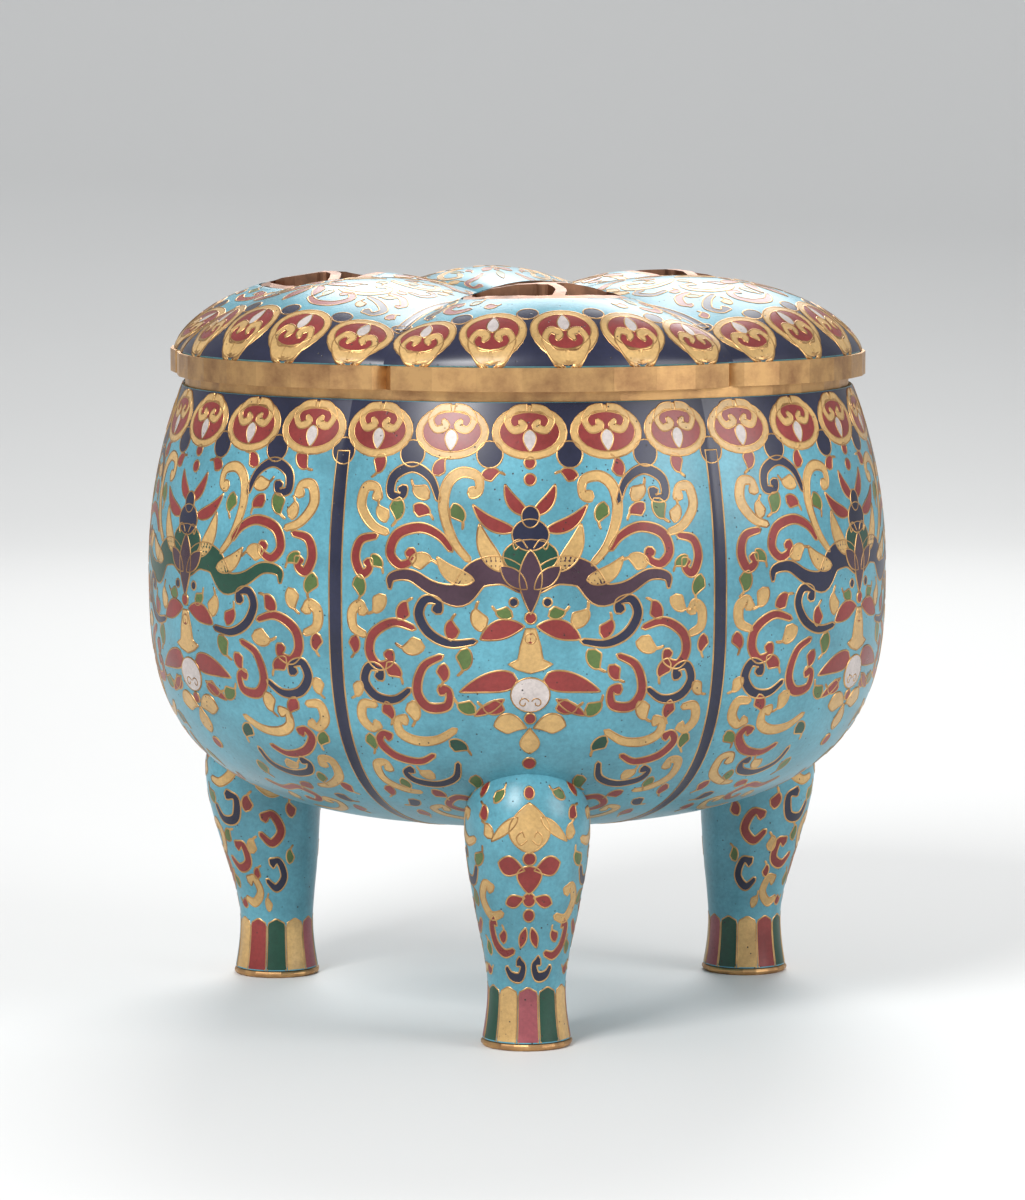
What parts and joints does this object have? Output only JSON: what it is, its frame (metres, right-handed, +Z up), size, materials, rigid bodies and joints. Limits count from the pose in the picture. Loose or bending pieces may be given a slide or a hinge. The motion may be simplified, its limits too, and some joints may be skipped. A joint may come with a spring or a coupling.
{
  "type": "cloisonne tripod incense burner",
  "caption": "Lobed enamelled incense burner on hollow legs, with a gilt mouth ring and a lobed lid with pierced smoke openings that lifts off.",
  "frame": {"origin": "on the table under the middle of the bowl", "axes": "+Z up along the bowl's axis, the front leg towards -Y"},
  "size_m": [0.1298, 0.1336, 0.1289],
  "materials": {
    "enamel": "polished cloisonne enamel, turquoise ground with gilt wires",
    "gilt_bronze": "worn fire gilding, brushed",
    "bare_copper": "dull worn copper"
  },
  "bodies": {
    "burner": {"bowl": "enamel", "leg_front": "enamel", "leg_rear_right": "enamel", "leg_rear_left": "enamel", "mouth_ring": "gilt_bronze", "sole_front": "gilt_bronze", "sole_rear_right": "gilt_bronze", "sole_rear_left": "gilt_bronze"},
    "lid": {"lid_dome": "enamel", "lid_rim_band": "gilt_bronze", "lid_flange": "gilt_bronze", "grille_front": "bare_copper", "grille_rear_right": "bare_copper", "grille_rear_left": "bare_copper"}
  },
  "joints": [
    {"name": "lid_lift", "type": "slide", "parent": "burner", "child": "lid", "axis": [0, 0, 1], "range_m": [0, 0.08]}
  ]
}
